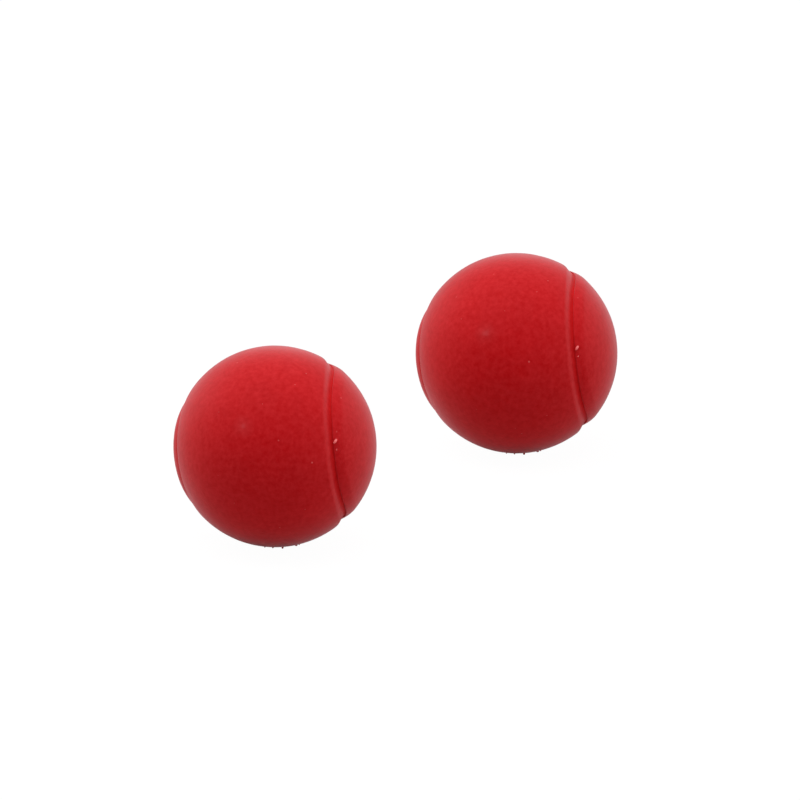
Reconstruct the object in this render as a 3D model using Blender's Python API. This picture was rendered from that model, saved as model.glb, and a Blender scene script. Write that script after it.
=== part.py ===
"""A pair of loose rubber juggling balls with the seam of a tennis ball.

Each ball is a hollow rubber core with a cover. The core is two half shells and the ring of rubber
that joins them. The cover is two equal dumbbell-shaped panels that wrap round the core and lock
into each other, with rounded edges that lead down to a narrow groove between them, and a bead of
rubber cement that fills the bottom of the groove.

Metres, +Z up. The origin is on the ground, midway between the two balls. The left ball is in front
and the right ball is behind it and to the right.
"""

import math
from collections import namedtuple

import bmesh
import bpy
from mathutils import Euler, Vector

# Driving dimensions.
BALL_DIAMETER = 0.065
COVER_THICKNESS = 0.0033
CORE_WALL = 0.0036
CEMENT_FILM = 0.0004  # space between the core and its cover
BACK_PANEL_PROUD = 0.0002  # how far the back panel stands above the front one
GROOVE_DEPTH = 0.0012  # from the front panel to the top of the bead
BEAD_WIDTH = 0.0012
BEAD_CLEARANCE = 0.0003
JOINT_THICKNESS = 0.0005
JOINT_CLEARANCE = 0.0003
JOINT_SQUEEZE = 0.0006  # how far the joint's rubber stands into the hollow
FOOT_SINK = 0.0002  # how far the soft cover sinks where the ball rests

# How a panel's outer surface climbs from its side wall to its full radius: the arc it takes, how deep
# it starts, and the two powers that shape the climb. A toe above 1 starts it flat, and a shoulder
# above 1 ends it flat.
Edge = namedtuple("Edge", "width depth toe shoulder")
FRONT_EDGE = Edge(width=0.0028, depth=0.0008, toe=1.6, shoulder=2.0)
BACK_EDGE = Edge(width=0.0033, depth=0.00065, toe=1.0, shoulder=1.6)

# The seam on a unit sphere: x and y follow a circle of radius SEAM_ROUND with a third harmonic that
# brings the sum to 1, and z rises and falls twice. The result is put back on the sphere.
SEAM_ROUND = 0.871
SEAM_RISE = 0.457

# Where the balls lie, and how each is turned from its seam's own axes.
RIGHT_FROM_LEFT = (0.0780, 0.0880)
REST_TURN_DEG = (109.0, -31.4, 146.3)

# Worked out from the above.
RADIUS = BALL_DIAMETER / 2
COVER_INNER = RADIUS - COVER_THICKNESS
GROOVE_BOTTOM = RADIUS - GROOVE_DEPTH
CORE_OUTER = COVER_INNER - CEMENT_FILM
CORE_INNER = CORE_OUTER - CORE_WALL
BEAD_HALF = BEAD_WIDTH / 2
PANEL_EDGE = BEAD_HALF + BEAD_CLEARANCE  # arc from the seam's centre to a panel's side wall
CENTRE_HEIGHT = RADIUS - FOOT_SINK

# Faceting.
SEAM_STEPS = 96
EDGE_STEPS = 5
FIELD_STEPS = 7
SHELL_STEPS = 32
SHELL_ARC_STEPS = 7

WELD = 1e-6

# Each panel lies across one pole of the seam's z axis: the front one on the seam's right, and the
# back one on its left. The planes that halve them lengthways have these normals.
FRONT_SIDE = -1
FRONT_HALVING_NORMAL = Vector((1, -1, 0)).normalized()
BACK_SIDE = 1
BACK_HALVING_NORMAL = Vector((1, 1, 0)).normalized()


def seam_point(t):
    """The seam's direction from the ball's centre, for t from 0 to a full turn."""
    third = 1 - SEAM_ROUND
    x = SEAM_ROUND * math.cos(t) + third * math.cos(3 * t)
    y = SEAM_ROUND * math.sin(t) - third * math.sin(3 * t)
    return Vector((x, y, SEAM_RISE * math.sin(2 * t))).normalized()


def seam_left(t):
    """The unit direction, square to the seam and along the sphere, that points to its left."""
    third = 1 - SEAM_ROUND
    dx = -SEAM_ROUND * math.sin(t) - 3 * third * math.sin(3 * t)
    dy = SEAM_ROUND * math.cos(t) - 3 * third * math.cos(3 * t)
    along = Vector((dx, dy, 2 * SEAM_RISE * math.cos(2 * t)))
    return seam_point(t).cross(along).normalized()


def seam_stations():
    """Values of t, in pairs that mirror each other in both halving planes."""
    step = 2 * math.pi / SEAM_STEPS
    return [-math.pi / 4 + (k + 0.5) * step for k in range(SEAM_STEPS)]


def off_seam(t, angle):
    """The direction reached by leaving the seam at t, square to it, through an angle to its left."""
    return seam_point(t) * math.cos(angle) + seam_left(t) * math.sin(angle)


def angle_to_middle(t, side, halving_normal):
    """How far a line square to the seam goes across a panel before it meets the halving plane."""
    start = seam_point(t).dot(halving_normal)
    inward = side * seam_left(t).dot(halving_normal)
    return math.atan2(abs(start), -inward * math.copysign(1, start))


def skin_rows(mesh, rows):
    """Joins rows of the same number of vertices, each a closed loop, with four-sided faces."""
    for row, after in zip(rows, rows[1:]):
        for k in range(len(row)):
            following = (k + 1) % len(row)
            mesh.faces.new((row[k], row[following], after[following], after[k]))


def finished(mesh, name):
    """Turns a bmesh into mesh data, welded, with its faces pointing out and shaded smooth."""
    bmesh.ops.remove_doubles(mesh, verts=mesh.verts, dist=WELD)
    bmesh.ops.recalc_face_normals(mesh, faces=mesh.faces)
    data = bpy.data.meshes.new(name)
    mesh.to_mesh(data)
    mesh.free()
    data.shade_smooth()
    data.set_sharp_from_angle(angle=math.radians(50))
    return data


def panel_mesh(name, side, halving_normal, outer_radius, edge):
    """One dumbbell panel: an outer skin, a side wall along the seam, and an inner skin."""
    wall_angle = PANEL_EDGE / RADIUS
    edge_angle = edge.width / RADIUS
    mesh = bmesh.new()

    def row(angle_at, radius):
        points = [
            off_seam(t, side * angle_at(t)) * radius for t in seam_stations()
        ]
        return [mesh.verts.new(point) for point in points]

    def field_row(step, radius):
        def angle_at(t):
            start = wall_angle + edge_angle
            middle = angle_to_middle(t, side, halving_normal)
            return start + (middle - start) * step / FIELD_STEPS

        return row(angle_at, radius)

    def edge_row(step, radius):
        return row(lambda t: wall_angle + edge_angle * step / EDGE_STEPS, radius)

    def rolled_radius(step):
        climbed = step / EDGE_STEPS
        drop = outer_radius - (RADIUS - edge.depth)
        return outer_radius - drop * (1 - climbed**edge.toe) ** edge.shoulder

    inner = [field_row(step, COVER_INNER) for step in range(FIELD_STEPS, -1, -1)]
    wall_base = [edge_row(0, COVER_INNER)]
    roll = [edge_row(step, rolled_radius(step)) for step in range(EDGE_STEPS)]
    outer = [field_row(step, outer_radius) for step in range(FIELD_STEPS + 1)]
    skin_rows(mesh, inner + wall_base + roll + outer)
    # The innermost row of each skin lies double on the halving plane, and welding closes it.
    return finished(mesh, name)


def bead_mesh(name):
    """The cement bead: a strip with a low crown that follows the whole seam."""
    shoulder = GROOVE_BOTTOM - 0.5 * BEAD_CLEARANCE
    crown = GROOVE_BOTTOM
    section = [
        (-BEAD_HALF, COVER_INNER),
        (-BEAD_HALF, shoulder),
        (0, crown),
        (BEAD_HALF, shoulder),
        (BEAD_HALF, COVER_INNER),
    ]
    mesh = bmesh.new()
    rows = [
        [mesh.verts.new(off_seam(t, arc / RADIUS) * radius) for t in seam_stations()]
        for arc, radius in section
    ]
    skin_rows(mesh, rows + rows[:1])
    return finished(mesh, name)


def turned_mesh(name, outline):
    """Spins a closed outline of (distance from the axis, height) points about the z axis."""
    mesh = bmesh.new()
    corners = [mesh.verts.new((across, 0, height)) for across, height in outline]
    edges = [
        mesh.edges.new((corner, following))
        for corner, following in zip(corners, corners[1:] + corners[:1])
    ]
    bmesh.ops.spin(
        mesh,
        geom=corners + edges,
        axis=(0, 0, 1),
        cent=(0, 0, 0),
        angle=2 * math.pi,
        steps=SHELL_STEPS,
        use_duplicate=False,
    )
    bmesh.ops.dissolve_degenerate(mesh, edges=mesh.edges, dist=WELD)
    return finished(mesh, name)


def half_shell_mesh(name):
    """One half of the core: a bowl whose rim stops short of the joint that closes it."""
    rim = JOINT_THICKNESS / 2 + JOINT_CLEARANCE

    def arc(radius):
        lowest = math.asin(rim / radius)
        share = [k / SHELL_ARC_STEPS for k in range(SHELL_ARC_STEPS + 1)]
        angles = [lowest + (math.pi / 2 - lowest) * s for s in share]
        return [(radius * math.cos(a), radius * math.sin(a)) for a in angles]

    outer = arc(CORE_OUTER)
    inner = arc(CORE_INNER)
    outer[-1] = (0, CORE_OUTER)
    inner[-1] = (0, CORE_INNER)
    return turned_mesh(name, outer + inner[::-1])


def joint_mesh(name):
    """The ring that joins the halves: flat between the rims, and rounded where it squeezed inward."""
    half = JOINT_THICKNESS / 2
    nose = CORE_INNER - JOINT_SQUEEZE
    outer = CORE_OUTER - JOINT_CLEARANCE
    outline = [(outer, -half), (outer, half), (CORE_INNER, half), (nose, half / 2)]
    outline += [(nose, -half / 2), (CORE_INNER, -half)]
    return turned_mesh(name, outline)


def rubber(name, colour, roughness):
    """A plain rubber material."""
    material = bpy.data.materials.new(name)
    material.use_nodes = True
    shader = material.node_tree.nodes["Principled BSDF"]
    shader.inputs["Base Color"].default_value = (*colour, 1)
    shader.inputs["Roughness"].default_value = roughness
    shader.inputs["Metallic"].default_value = 0
    return material


def place(name, data, parent, material, half_turn=False):
    """Puts one piece in its ball, turned end for end about the x axis if asked."""
    piece = bpy.data.objects.new(name, data)
    bpy.context.scene.collection.objects.link(piece)
    piece.parent = parent
    piece.rotation_euler = (math.pi if half_turn else 0, 0, 0)
    if not data.materials:
        data.materials.append(material)
    return piece


def ground_cutter():
    """A slab below the ground that takes the foot off each cover."""
    bpy.ops.mesh.primitive_cube_add(size=1)
    slab = bpy.context.object
    slab.name = "ground_cutter"
    across, back = RIGHT_FROM_LEFT
    slab.scale = (across + 2 * BALL_DIAMETER, back + 2 * BALL_DIAMETER, RADIUS)
    slab.location = (0, 0, -RADIUS / 2)
    slab.hide_render = True
    slab.display_type = "WIRE"
    return slab


def main():
    for old in list(bpy.data.objects):
        bpy.data.objects.remove(old)

    cover_red = rubber("cover_rubber", (0.50, 0.018, 0.022), 0.45)
    bead_red = rubber("seam_rubber", (0.36, 0.008, 0.012), 0.25)
    core_grey = rubber("core_rubber", (0.035, 0.033, 0.032), 0.7)
    joint_tan = rubber("joint_rubber", (0.30, 0.20, 0.10), 0.55)

    front_panel = panel_mesh(
        "front_panel", FRONT_SIDE, FRONT_HALVING_NORMAL, RADIUS, FRONT_EDGE
    )
    back_panel = panel_mesh(
        "back_panel",
        BACK_SIDE,
        BACK_HALVING_NORMAL,
        RADIUS + BACK_PANEL_PROUD,
        BACK_EDGE,
    )
    bead = bead_mesh("seam_bead")
    half_shell = half_shell_mesh("core_half")
    joint = joint_mesh("core_joint")
    cutter = ground_cutter()

    for ball, direction in (("left", -0.5), ("right", 0.5)):
        centre = bpy.data.objects.new(f"{ball}_ball", None)
        bpy.context.scene.collection.objects.link(centre)
        across, back = RIGHT_FROM_LEFT
        centre.location = (direction * across, direction * back, CENTRE_HEIGHT)
        centre.rotation_euler = Euler([math.radians(a) for a in REST_TURN_DEG])
        panels = [
            place(f"{ball}_front_panel", front_panel, centre, cover_red),
            place(f"{ball}_back_panel", back_panel, centre, cover_red),
        ]
        place(f"{ball}_seam_bead", bead, centre, bead_red)
        place(f"{ball}_core_back_half", half_shell, centre, core_grey)
        place(f"{ball}_core_front_half", half_shell, centre, core_grey, half_turn=True)
        place(f"{ball}_core_joint", joint, centre, joint_tan)
        for panel in panels:
            cut = panel.modifiers.new("foot", "BOOLEAN")
            cut.operation = "DIFFERENCE"
            cut.object = cutter


main()
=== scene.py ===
"""Looks for a pair of red rubber balls with a tennis-ball seam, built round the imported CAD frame."""

import math

import bmesh
import bpy
import numpy as np
from mathutils import Euler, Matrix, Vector


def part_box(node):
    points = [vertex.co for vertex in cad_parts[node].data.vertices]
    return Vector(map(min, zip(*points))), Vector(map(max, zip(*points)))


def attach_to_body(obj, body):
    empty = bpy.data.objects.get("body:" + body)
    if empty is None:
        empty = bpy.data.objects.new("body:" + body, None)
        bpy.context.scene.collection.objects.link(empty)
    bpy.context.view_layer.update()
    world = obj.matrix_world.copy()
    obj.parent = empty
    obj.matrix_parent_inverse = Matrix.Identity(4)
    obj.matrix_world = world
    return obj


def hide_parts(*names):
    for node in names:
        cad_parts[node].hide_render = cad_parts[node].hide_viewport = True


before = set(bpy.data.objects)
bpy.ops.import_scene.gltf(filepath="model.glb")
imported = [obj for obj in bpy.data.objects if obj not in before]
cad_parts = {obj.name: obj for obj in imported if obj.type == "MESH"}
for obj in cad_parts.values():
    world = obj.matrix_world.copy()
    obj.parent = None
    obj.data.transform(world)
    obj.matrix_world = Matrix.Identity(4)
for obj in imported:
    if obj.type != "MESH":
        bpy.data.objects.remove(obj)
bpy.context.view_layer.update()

# ---------------------------------------------------------------- sizes, in metres and radians
MM = 0.001
RADIUS = 32.5 * MM
COVER_INNER = 29.2 * MM
BACK_PROUD = 0.2 * MM
GROOVE_DEPTH = 1.2 * MM
SINK = 0.2 * MM
SEAM_ROUND = 0.871
SEAM_RISE = 0.457
REST_TURN = Euler([math.radians(a) for a in (109.0, -31.4, 146.3)]).to_matrix()

# The two panels of a ball by their side of the seam, which also keys the sizes that follow.
FRONT, BACK = -1, 1
# Each panel's edge: its depth at the wall, a flat floor, then a climb to the full radius. The toe
# and shoulder powers shape the climb, in an S on the front panel and a plain curve on the back one.
EDGE_DEPTH = {FRONT: 0.80 * MM, BACK: 0.65 * MM}
FLOOR_WIDTH = {FRONT: 0.20 * MM, BACK: 0.0}
EDGE_WIDTH = {FRONT: 2.6 * MM, BACK: 3.68 * MM}
TOE = {FRONT: 1.6, BACK: 1.0}
SHOULDER = {FRONT: 2.0, BACK: 1.6}
# The climb's width wanders along the seam by up to this share, over about this distance.
EDGE_WANDER = 0.12
WANDER_SIZE = 14 * MM
# From the seam's centre to each panel's side wall. The bead laps both walls.
WALL_ARC = {FRONT: 0.90 * MM, BACK: 0.52 * MM}
BEAD_LAP = 0.08 * MM
BEAD_CROWN = RADIUS - GROOVE_DEPTH + 0.08 * MM
BEAD_FILLET = 0.20 * MM  # how far the bead climbs each wall
BEAD_LUMPS = 0.025 * MM
BEAD_LUMP_SIZE = 3 * MM
# The skin's relief, coarse to fine, as (height, feature size): out of round, soft dents and grain.
RELIEF = ((0.05 * MM, 17 * MM), (0.020 * MM, 4.5 * MM), (0.010 * MM, 1.3 * MM))
# Relief starts this far below the surface, to leave the inside plain, and is full after the fade.
RELIEF_DEPTH = 2.2 * MM
RELIEF_FADE = 0.6 * MM

ELEVATION = math.radians(20)  # the camera's height above level, seen from the balls

SEAM_STEPS = 640
EDGE_STEPS = 30
FIELD_STEPS = 94
INNER_STEPS = 24
BEAD_ROWS = 9
NOISE_CELLS = 24  # cells per side of the noise lattice before it repeats

WELD = 2e-6
SLIVER = 1e-6  # edges shorter than this are dissolved
SHARP_ANGLE = math.radians(40)

# ---------------------------------------------------------------- small marks
# A painted highlight: a pale patch on the near side that stands in for a lamp's soft reflection, as
# (across, up) in radii, as the camera sees it.
PAINTED_HIGHLIGHT_AT = (-0.31, 0.20)
PAINTED_HIGHLIGHT_SIZE = 6.0 * MM
PAINTED_HIGHLIGHT_RAGGED = 3.0 * MM
# Bits of moulding flash low on the ball, as (across, size), in radii.
FLASH = ((-0.02, 0.0090), (0.075, 0.0125), (0.21, 0.0100), (0.24, 0.0065), (-0.10, 0.0055))
FLASH_AT = 0.9995  # share of the way down to the lowest visible edge
# Spots of cement on the back panel's edge, glossy to catch the lamp's glint and painted a lighter red
# than the cover to brighten it, as (across, up, size, length over width).
CEMENT_SPOTS = (
    (0.606, 0.052, 0.0150, 2.0),
    (0.616, -0.032, 0.0060, 1.6),
    (0.705, -0.390, 0.0060, 1.2),
)
SPOT_LEAN = 0.45  # how far the spots lean to the right of upright
SPOT_RADIUS = 0.992  # the back panel's edge is a little below its full radius there
SPOT_FLAT = 0.45
# Grains of pale dust, as (across, up, size).
DUST = (
    (0.31, 0.72, 0.0055), (0.20, 0.61, 0.0050), (-0.55, 0.34, 0.0040), (-0.40, -0.56, 0.0040),
    (0.05, -0.80, 0.0045), (0.30, -0.62, 0.0040), (-0.12, 0.42, 0.0035),
)
DUST_FLAT = 0.6
# First seeds of the random draws.
WANDER_SEED = 5
BEAD_SEED = 31
RELIEF_SEED = 40
FLASH_SEED = 70
SPOT_SEED = 90
DUST_SEED = 110


# ---------------------------------------------------------------- the seam, as arrays over t
def unit(a):
    return a / np.linalg.norm(a, axis=-1, keepdims=True)


def seam(t):
    """The seam's direction from the ball's centre and the direction to its left, on the sphere."""
    third = 1 - SEAM_ROUND
    x = SEAM_ROUND * np.cos(t) + third * np.cos(3 * t)
    y = SEAM_ROUND * np.sin(t) - third * np.sin(3 * t)
    dx = -SEAM_ROUND * np.sin(t) - 3 * third * np.sin(3 * t)
    dy = SEAM_ROUND * np.cos(t) - 3 * third * np.cos(3 * t)
    point = unit(np.stack([x, y, SEAM_RISE * np.sin(2 * t)], -1))
    along = np.stack([dx, dy, 2 * SEAM_RISE * np.cos(2 * t)], -1)
    return point, unit(np.cross(point, along))


def seam_samples():
    step = 2 * math.pi / SEAM_STEPS
    return seam(-math.pi / 4 + (np.arange(SEAM_STEPS) + 0.5) * step)


def seam_row(point, toward, angle, radius):
    """Points at an angle from the seam toward one side, at a radius. Both may vary along the seam."""
    angle = np.asarray(angle)[..., None] * np.ones((SEAM_STEPS, 1))
    radius = np.asarray(radius)[..., None] * np.ones((SEAM_STEPS, 1))
    return (point * np.cos(angle) + toward * np.sin(angle)) * radius


def smooth_noise(points, size, seed):
    """Value noise at points, -1 to 1, with features of about this size."""
    grid = np.random.default_rng(seed).uniform(-1, 1, (NOISE_CELLS,) * 3)
    q = points / size
    base = np.floor(q).astype(int)
    f = q - base
    f = f * f * (3 - 2 * f)
    total = np.zeros(len(points))
    for corner in range(8):
        step = np.array([corner & 1, corner >> 1 & 1, corner >> 2 & 1])
        weight = np.prod(np.where(step, f, 1 - f), axis=-1)
        i = (base + step) % NOISE_CELLS
        total += weight * grid[i[:, 0], i[:, 1], i[:, 2]]
    return total


# ---------------------------------------------------------------- meshes
def smooth(data):
    data.shade_smooth()
    data.set_sharp_from_angle(angle=SHARP_ANGLE)


def grid_mesh(name, rows, close=False):
    """A mesh from closed rows of points, welded where rows fold onto themselves."""
    count = rows.shape[1]
    verts = rows.reshape(-1, 3)
    faces = []
    pairs = list(zip(range(len(rows)), range(1, len(rows))))
    if close:
        pairs.append((len(rows) - 1, 0))
    for a, b in pairs:
        for k in range(count):
            n = (k + 1) % count
            faces.append((a * count + k, a * count + n, b * count + n, b * count + k))
    data = bpy.data.meshes.new(name)
    data.from_pydata(verts.tolist(), [], faces)
    bm = bmesh.new()
    bm.from_mesh(data)
    bmesh.ops.remove_doubles(bm, verts=bm.verts, dist=WELD)
    bmesh.ops.dissolve_degenerate(bm, edges=bm.edges, dist=SLIVER)
    bmesh.ops.recalc_face_normals(bm, faces=bm.faces)
    bm.to_mesh(data)
    bm.free()
    smooth(data)
    return data


def panel_rows(side, normal):
    """A panel's rows: its inside from the halving plane to the wall, then its outside back to it."""
    point, left = seam_samples()
    inward = side * left
    wall = WALL_ARC[side] / RADIUS
    start = point @ normal
    middle = np.arctan2(np.abs(start), -(inward @ normal) * np.sign(start))
    wander = smooth_noise(point * RADIUS, WANDER_SIZE, WANDER_SEED + side)
    width = EDGE_WIDTH[side] * (1 + EDGE_WANDER * wander) / RADIUS
    toe = wall + FLOOR_WIDTH[side] / RADIUS
    edge = toe + width
    full = RADIUS + (BACK_PROUD if side == BACK else 0.0)
    bottom = RADIUS - EDGE_DEPTH[side]

    def outer(angle):
        climbed = np.clip((angle - toe) / width, 0, 1)
        return full - (full - bottom) * (1 - climbed ** TOE[side]) ** SHOULDER[side]

    inner_angles = [wall + (middle - wall) * s for s in np.linspace(1, 0, INNER_STEPS)]
    angles = [np.full(SEAM_STEPS, wall)]
    angles += [toe + width * s for s in np.linspace(0, 1, EDGE_STEPS + 1)]
    angles += [edge + (middle - edge) * s for s in np.linspace(0, 1, FIELD_STEPS + 1)[1:]]
    rows = [seam_row(point, inward, a, COVER_INNER) for a in inner_angles]
    rows += [seam_row(point, inward, a, outer(a)) for a in angles]
    return np.array(rows)


def bead_rows():
    """The bead's rows: its crown from the front wall to the back one, then its flat inside."""
    point, left = seam_samples()
    lump = BEAD_LUMPS * smooth_noise(point * RADIUS, BEAD_LUMP_SIZE, BEAD_SEED)
    low = -(WALL_ARC[FRONT] + BEAD_LAP) / RADIUS
    high = (WALL_ARC[BACK] + BEAD_LAP) / RADIUS
    rows = []
    for s in np.linspace(-1, 1, BEAD_ROWS):
        angle = (low + high) / 2 + s * (high - low) / 2
        rows.append(seam_row(point, left, angle, BEAD_CROWN + BEAD_FILLET * s**4 + lump))
    rows += [seam_row(point, left, angle, COVER_INNER) for angle in (high, low)]
    return np.array(rows)


def relief(verts):
    """Out-of-round, soft dents and fine moulded grain, on outward faces only."""
    r = np.linalg.norm(verts, axis=1)
    skin = np.clip((r - (RADIUS - RELIEF_DEPTH)) / RELIEF_FADE, 0, 1)
    move = sum(
        height * smooth_noise(verts, size, RELIEF_SEED + n)
        for n, (height, size) in enumerate(RELIEF)
    )
    return verts * (1 + skin * move / np.maximum(r, 1e-6))[:, None]


def seated(world):
    """Flattens the foot on the ground."""
    world[:, 2] = np.maximum(world[:, 2], 0)
    return world


# ---------------------------------------------------------------- places on the balls
def seen_at(across, up):
    """The world direction of the point the camera sees at (across, up), in radii."""
    toward = math.sqrt(max(0.0, 1 - across * across - up * up))
    right = Vector((1, 0, 0))
    high = Vector((0, math.sin(ELEVATION), math.cos(ELEVATION)))
    near = Vector((0, -math.cos(ELEVATION), math.sin(ELEVATION)))
    return right * across + high * up + near * toward


def centre_of(ball):
    """The ball's centre, from its core's box, which is symmetric about it."""
    lows, highs = zip(*(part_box(f"{ball}_core_{half}_half") for half in ("front", "back")))
    low = Vector(min(v[i] for v in lows) for i in range(3))
    high = Vector(max(v[i] for v in highs) for i in range(3))
    return (low + high) / 2


# Where the painted highlight sits on each ball.
PAINTED_HIGHLIGHT_PLACES = [centre_of(ball) + RADIUS * seen_at(*PAINTED_HIGHLIGHT_AT) for ball in ("left", "right")]


# ---------------------------------------------------------------- materials
# Noise scales, in features per metre, from broad patches to fine grain.
BROAD_SCALE = 90
PATCH_SCALE = 140
SPECK_SCALE = 240.0
RAGGED_SCALE = 350
MOTTLE_SCALE = 620
GRAIN_SCALE = 1500
GRAIN_HEIGHT = 0.06 * MM
SPECK_COLOUR = (0.80, 0.13, 0.13, 1)
# The painted highlight's colour, lighter than the cover.
PAINTED_HIGHLIGHT_COLOUR = (0.70, 0.12, 0.13, 1)
SHEEN_ROUGHNESS = 0.35
SHEEN_TINT = (1.0, 0.63, 0.66, 1)


def new_material(name):
    m = bpy.data.materials.new(name)
    m.use_nodes = True
    tree = m.node_tree
    return m, tree, tree.nodes["Principled BSDF"]


def node(tree, kind, **values):
    n = tree.nodes.new(kind)
    for key, value in values.items():
        if key in n.inputs:
            n.inputs[key].default_value = value
        else:
            setattr(n, key, value)
    return n


def attach(tree, socket, value):
    """Links a node's output to a socket, or sets the socket to a plain value."""
    if hasattr(value, "links"):
        tree.links.new(value, socket)
    else:
        socket.default_value = value


def math_node(tree, operation, *inputs):
    n = node(tree, "ShaderNodeMath", operation=operation)
    for socket, value in zip(n.inputs, inputs):
        attach(tree, socket, value)
    return n.outputs[0]


def noise(tree, coord, scale, detail, rough=0.55):
    n = node(tree, "ShaderNodeTexNoise", Scale=scale, Detail=detail, Roughness=rough)
    tree.links.new(coord, n.inputs["Vector"])
    return n.outputs["Fac"]


def ramp(tree, value, stops):
    n = tree.nodes.new("ShaderNodeValToRGB")
    tree.links.new(value, n.inputs["Fac"])
    e = n.color_ramp.elements
    while len(e) < len(stops):
        e.new(0.5)
    for slot, (pos, col) in zip(e, stops):
        slot.position = pos
        slot.color = (*col, 1)
    return n.outputs["Color"]


def grey(value):
    return (value,) * 3


def mix(tree, mode, factor, a, b):
    n = tree.nodes.new("ShaderNodeMix")
    n.data_type = "RGBA"
    n.blend_type = mode
    factor_input, first, second = 0, 6, 7  # the sockets of a colour mix
    for key, value in ((factor_input, factor), (first, a), (second, b)):
        attach(tree, n.inputs[key], value)
    return n.outputs[2]


def with_painted_highlight(tree, coord, colour):
    """Paints a faint highlight, a lighter patch a few millimetres wide, on the near side of each ball.
    """
    distances = []
    for place in PAINTED_HIGHLIGHT_PLACES:
        n = node(tree, "ShaderNodeVectorMath", operation="DISTANCE")
        tree.links.new(coord, n.inputs[0])
        n.inputs[1].default_value = place
        distances.append(n.outputs["Value"])
    away = math_node(tree, "MINIMUM", *distances)
    ragged = math_node(tree, "MULTIPLY_ADD", noise(tree, coord, RAGGED_SCALE, 3), PAINTED_HIGHLIGHT_RAGGED, away)
    reach = math_node(tree, "DIVIDE", ragged, PAINTED_HIGHLIGHT_SIZE)
    mask = ramp(tree, reach, [(0.28, grey(0.30)), (0.48, grey(0.10)), (0.95, grey(0.0))])
    return mix(tree, "MIX", mask, colour, PAINTED_HIGHLIGHT_COLOUR)


def specked(tree, coord, colour):
    """Scatters sparse pale pinholes and dust over the colour."""
    cells = node(tree, "ShaderNodeTexVoronoi", Scale=SPECK_SCALE, Randomness=1.0)
    tree.links.new(coord, cells.inputs["Vector"])
    near = ramp(tree, cells.outputs["Distance"], [(0.03, grey(1)), (0.10, grey(0))])
    patches = ramp(tree, noise(tree, coord, PATCH_SCALE, 0), [(0.64, grey(0)), (0.68, grey(1))])
    mask = mix(tree, "MULTIPLY", 1.0, near, patches)
    return mix(tree, "MIX", mask, colour, SPECK_COLOUR)


def rubber(name, dark, light, roughness, grain, level, marked=False, sheen=0.0):
    """A moulded rubber: mottled colour, fine grain, faint gloss and, where wanted, a pinkish sheen and
    the cover's specks and painted highlight."""
    m, tree, bsdf = new_material(name)
    coord = tree.nodes.new("ShaderNodeTexCoord").outputs["Object"]
    mottle = noise(tree, coord, MOTTLE_SCALE, 5, 0.6)
    broad = noise(tree, coord, BROAD_SCALE, 2)
    colour = ramp(tree, mottle, [(0.32, dark), (0.70, light)])
    tint = ramp(tree, broad, [(0.3, grey(0.95)), (0.7, grey(1.0))])
    colour = mix(tree, "MULTIPLY", 1.0, colour, tint)
    if marked:
        colour = specked(tree, coord, colour)
        # Paints a highlight on the near side of each ball.
        colour = with_painted_highlight(tree, coord, colour)
    tree.links.new(colour, bsdf.inputs["Base Color"])
    rough = node(tree, "ShaderNodeMapRange")
    tree.links.new(mottle, rough.inputs["Value"])
    rough.inputs["To Min"].default_value = roughness - 0.05
    rough.inputs["To Max"].default_value = roughness + 0.06
    tree.links.new(rough.outputs["Result"], bsdf.inputs["Roughness"])
    bsdf.inputs["Specular IOR Level"].default_value = level
    bsdf.inputs["Sheen Weight"].default_value = sheen
    bsdf.inputs["Sheen Roughness"].default_value = SHEEN_ROUGHNESS
    bsdf.inputs["Sheen Tint"].default_value = SHEEN_TINT
    bump = node(tree, "ShaderNodeBump", Strength=grain, Distance=GRAIN_HEIGHT)
    tree.links.new(noise(tree, coord, GRAIN_SCALE, 3), bump.inputs["Height"])
    tree.links.new(bump.outputs["Normal"], bsdf.inputs["Normal"])
    return m


cover_look = rubber(
    "cover_rubber_look", (0.62, 0.002, 0.005), (0.715, 0.016, 0.021),
    roughness=0.55, grain=0.6, level=0.075, marked=True, sheen=0.95,
)
# Glossy cement in a red lighter than the cover's: a painted highlight that brightens the spots' glint.
cement_glint_look = rubber(
    "cement_glint_look", (0.96, 0.06, 0.06), (0.98, 0.10, 0.10),
    roughness=0.20, grain=0.0, level=1.0,
)
dust_look = rubber(
    "dust_look", (0.74, 0.10, 0.10), (0.80, 0.16, 0.16),
    roughness=0.60, grain=0.0, level=0.2,
)
seam_look = rubber(
    "seam_rubber_look", (0.62, 0.003, 0.005), (0.72, 0.008, 0.010),
    roughness=0.55, grain=0.3, level=0.06, sheen=0.5,
)
core_look = rubber(
    "core_rubber_look", grey(0.020), grey(0.045),
    roughness=0.7, grain=0.6, level=0.4,
)
joint_look = rubber(
    "joint_rubber_look", (0.22, 0.14, 0.07), (0.34, 0.23, 0.12),
    roughness=0.55, grain=0.5, level=0.4,
)


# ---------------------------------------------------------------- pieces
def piece(name, data, world_verts, body, look, node_name):
    """Makes a visible piece from a mesh moved into place, which stands in for one CAD node."""
    data.vertices.foreach_set("co", world_verts.astype(np.float32).ravel())
    data.update()
    o = bpy.data.objects.new(name, data)
    bpy.context.scene.collection.objects.link(o)
    data.materials.append(look)
    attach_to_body(o, body)
    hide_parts(node_name)


def coords(data):
    co = np.empty(len(data.vertices) * 3)
    data.vertices.foreach_get("co", co)
    return co.reshape(-1, 3)


LUMP_STRETCH = (0.65, 1.3)  # least and most along each axis
LUMP_BUMPS = 0.22
LUMP_RISE = 0.25  # how far a lump's middle stands above the surface, in its sizes


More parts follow.
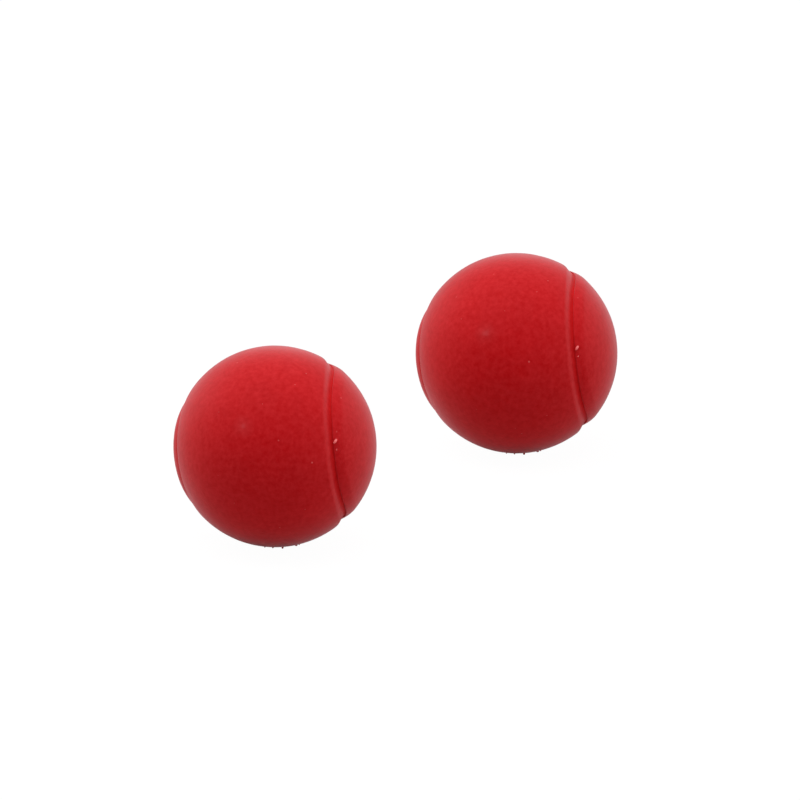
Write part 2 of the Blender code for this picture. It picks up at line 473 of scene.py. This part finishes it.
def lump_mesh(bm, place, out, size, seed, flat=1.0, along=Vector((1, 0, 0)), longer=1.0):
    """Adds one small closed, irregular lump, partly sunk in the surface. flat thins it along out,
    and longer stretches it along the given direction."""
    made = bmesh.ops.create_icosphere(bm, subdivisions=2, radius=1)["verts"]
    draw = np.random.default_rng(seed)
    stretch = draw.uniform(*LUMP_STRETCH, 3)
    phase = draw.uniform(0, 6, 3)
    for v in made:
        bumpy = 1 + LUMP_BUMPS * math.sin(4 * v.co.x + phase[0]) * math.cos(5 * v.co.y + phase[1])
        v.co = Vector(c * k * bumpy * size for c, k in zip(v.co, stretch))
        v.co -= out * v.co.dot(out) * (1 - flat)
        v.co += along * v.co.dot(along) * (longer - 1)
        v.co += place + out * (LUMP_RISE * size)


def with_lumps(data, lumps, look=None):
    """Adds lumps to a mesh, in its own material or in another look."""
    plain_faces = len(data.polygons)
    bm = bmesh.new()
    bm.from_mesh(data)
    for lump in lumps:
        lump_mesh(bm, *lump)
    bm.to_mesh(data)
    bm.free()
    smooth(data)
    if look:
        data.materials.append(look)
        for face in data.polygons[plain_faces:]:
            face.material_index = len(data.materials) - 1


def flash_lumps(centre):
    lumps = []
    for n, (across, size) in enumerate(FLASH):
        out = seen_at(across, -math.sqrt(1 - across * across) * FLASH_AT)
        lumps.append((centre + RADIUS * out, out, size * RADIUS, FLASH_SEED + n))
    return lumps


def dust_lumps(centre):
    lumps = []
    for n, (across, up, size) in enumerate(DUST):
        out = seen_at(across, up)
        lumps.append((centre + RADIUS * out, out, size * RADIUS, DUST_SEED + n, DUST_FLAT))
    return lumps


def cement_lumps(centre):
    """The spots face halfway between the camera and straight up, which catches the overhead light."""
    facing = (Vector((0, 0, 1)) + seen_at(0, 0)).normalized()
    leaning = Vector((SPOT_LEAN, math.sin(ELEVATION), math.cos(ELEVATION)))
    along = (leaning - facing * leaning.dot(facing)).normalized()
    lumps = []
    for n, (across, up, size, longer) in enumerate(CEMENT_SPOTS):
        place = centre + RADIUS * SPOT_RADIUS * seen_at(across, up)
        lumps.append((place, facing, size * RADIUS, SPOT_SEED + n, SPOT_FLAT, along, longer))
    return lumps


def dress_panel(ball, centre, which, side, normal):
    data = grid_mesh(f"{ball}_{which}_panel_mesh", panel_rows(side, normal))
    world = seated(relief(coords(data)) @ np.array(REST_TURN).T + np.array(centre))
    piece(
        f"{ball}_{which}_panel_skin", data, world,
        f"{ball}_ball", cover_look, f"{ball}_{which}_panel",
    )
    if side == FRONT:
        with_lumps(data, flash_lumps(centre))
        with_lumps(data, dust_lumps(centre), dust_look)


def dress_bead(ball, centre):
    data = grid_mesh(f"{ball}_bead_mesh", bead_rows(), close=True)
    piece(
        f"{ball}_seam_bead_skin", data, coords(data) @ np.array(REST_TURN).T + np.array(centre),
        f"{ball}_ball", seam_look, f"{ball}_seam_bead",
    )
    with_lumps(data, cement_lumps(centre), cement_glint_look)


def dress_core(ball):
    """The core's pieces are hidden inside, so the CAD parts show, in rubber."""
    looks = {"core_front_half": core_look, "core_back_half": core_look, "core_joint": joint_look}
    for suffix, look in looks.items():
        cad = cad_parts[f"{ball}_{suffix}"]
        cad.data.materials.clear()
        cad.data.materials.append(look)


for ball in ("left", "right"):
    centre = centre_of(ball)
    dress_panel(ball, centre, "front", FRONT, np.array([1, -1, 0]) / math.sqrt(2))
    dress_panel(ball, centre, "back", BACK, np.array([1, 1, 0]) / math.sqrt(2))
    dress_bead(ball, centre)
    dress_core(ball)

# ---------------------------------------------------------------- floor
FLOOR_SIZE = 6
FLOOR_SEEN = 0.05  # the part of the floor's brightness that shadows can take away
FLOOR_GLOW = 0.975
FLOOR_BOUNCE = (0.52, 0.40, 0.40)


def floor_material():
    """Near white to the camera, with a faint shadow. What it bounces is dimmer and pinkish."""
    m, tree, unused = new_material("floor_white")
    tree.nodes.remove(unused)
    seen_diffuse = node(tree, "ShaderNodeBsdfDiffuse", Color=(*grey(FLOOR_SEEN), 1))
    seen_glow = node(tree, "ShaderNodeEmission", Color=(1, 1, 1, 1), Strength=FLOOR_GLOW)
    seen = tree.nodes.new("ShaderNodeAddShader")
    tree.links.new(seen_diffuse.outputs[0], seen.inputs[0])
    tree.links.new(seen_glow.outputs[0], seen.inputs[1])
    bounce = node(tree, "ShaderNodeBsdfDiffuse", Color=(*FLOOR_BOUNCE, 1))
    either = tree.nodes.new("ShaderNodeMixShader")
    path = tree.nodes.new("ShaderNodeLightPath")
    tree.links.new(path.outputs["Is Camera Ray"], either.inputs[0])
    tree.links.new(bounce.outputs[0], either.inputs[1])
    tree.links.new(seen.outputs[0], either.inputs[2])
    tree.links.new(either.outputs[0], tree.nodes["Material Output"].inputs["Surface"])
    return m


bpy.ops.mesh.primitive_plane_add(size=FLOOR_SIZE)
floor = bpy.context.object
floor.name = "floor"
floor.data.materials.append(floor_material())

# ---------------------------------------------------------------- light
# White surroundings, bright at the sides and behind and dark in front. The camera sees them white.
STUDIO_LEFT = 0.78
STUDIO_RIGHT = 1.50
STUDIO_BACK = 0.58
# The lamps, as name, place, size and power. All point at LAMPS_AIM.
LAMPS = (
    ("overhead_small", (0, 0, 1.0), 0.55, 1.40),
    ("overhead_wide", (0, 0, 1.0), 1.4, 5.9),
    ("upper_left", (-0.5, -0.22, 0.95), 0.6, 1.85),
    ("left_rim", (-0.9, 0.5, 0.5), 0.7, 2.55),
)
LAMPS_AIM = Vector((0, 0, 0.03))


def lobe(tree, component, strength):
    """Brightness that grows as the square of the positive part of one direction component."""
    positive = math_node(tree, "MAXIMUM", component, 0.0)
    squared = math_node(tree, "MULTIPLY", positive, positive)
    return math_node(tree, "MULTIPLY", squared, strength)


def studio_world():
    world = bpy.data.worlds.new("studio")
    world.use_nodes = True
    tree = world.node_tree
    direction = tree.nodes.new("ShaderNodeTexCoord").outputs["Generated"]
    parts = tree.nodes.new("ShaderNodeSeparateXYZ")
    tree.links.new(direction, parts.inputs[0])
    to_left = math_node(tree, "MULTIPLY", parts.outputs["X"], -1.0)
    level = lobe(tree, to_left, STUDIO_LEFT)
    level = math_node(tree, "ADD", level, lobe(tree, parts.outputs["X"], STUDIO_RIGHT))
    level = math_node(tree, "ADD", level, lobe(tree, parts.outputs["Y"], STUDIO_BACK))
    camera_ray = tree.nodes.new("ShaderNodeLightPath").outputs["Is Camera Ray"]
    level = math_node(tree, "MAXIMUM", level, camera_ray)
    background = tree.nodes["Background"]
    tree.links.new(level, background.inputs["Strength"])
    background.inputs["Color"].default_value = (1, 1, 1, 1)
    return world


def add_lamp(name, location, size, power):
    light = bpy.data.lights.new(name, "AREA")
    light.shape = "DISK"
    light.size = size
    light.energy = power
    o = bpy.data.objects.new(name, light)
    bpy.context.scene.collection.objects.link(o)
    o.location = location
    o.rotation_euler = (LAMPS_AIM - Vector(location)).to_track_quat("-Z", "Y").to_euler()


bpy.context.scene.world = studio_world()
for lamp in LAMPS:
    add_lamp(*lamp)

# ---------------------------------------------------------------- camera
DISTANCE = 12.0  # far off, so that both balls look nearly the same size
PICTURE_WIDTH = 7.95 * RADIUS
SENSOR_WIDTH = 36
AIM_RIGHT = 1.24 * MM
AIM_DOWN = 0.12 * MM

cam_data = bpy.data.cameras.new("camera")
cam = bpy.data.objects.new("camera", cam_data)
bpy.context.scene.collection.objects.link(cam)
bpy.context.scene.camera = cam
aim = Vector((AIM_RIGHT, 0, RADIUS - SINK))
back = seen_at(0, 0)
cam.rotation_euler = (-back).to_track_quat("-Z", "Y").to_euler()
up = cam.rotation_euler.to_matrix() @ Vector((0, 1, 0))
aim -= up * AIM_DOWN
cam.location = aim + back * DISTANCE
cam_data.sensor_width = SENSOR_WIDTH
cam_data.lens = SENSOR_WIDTH * DISTANCE / PICTURE_WIDTH
cam_data.clip_start = 0.1
cam_data.clip_end = 100
bpy.context.scene.view_settings.view_transform = "Standard"
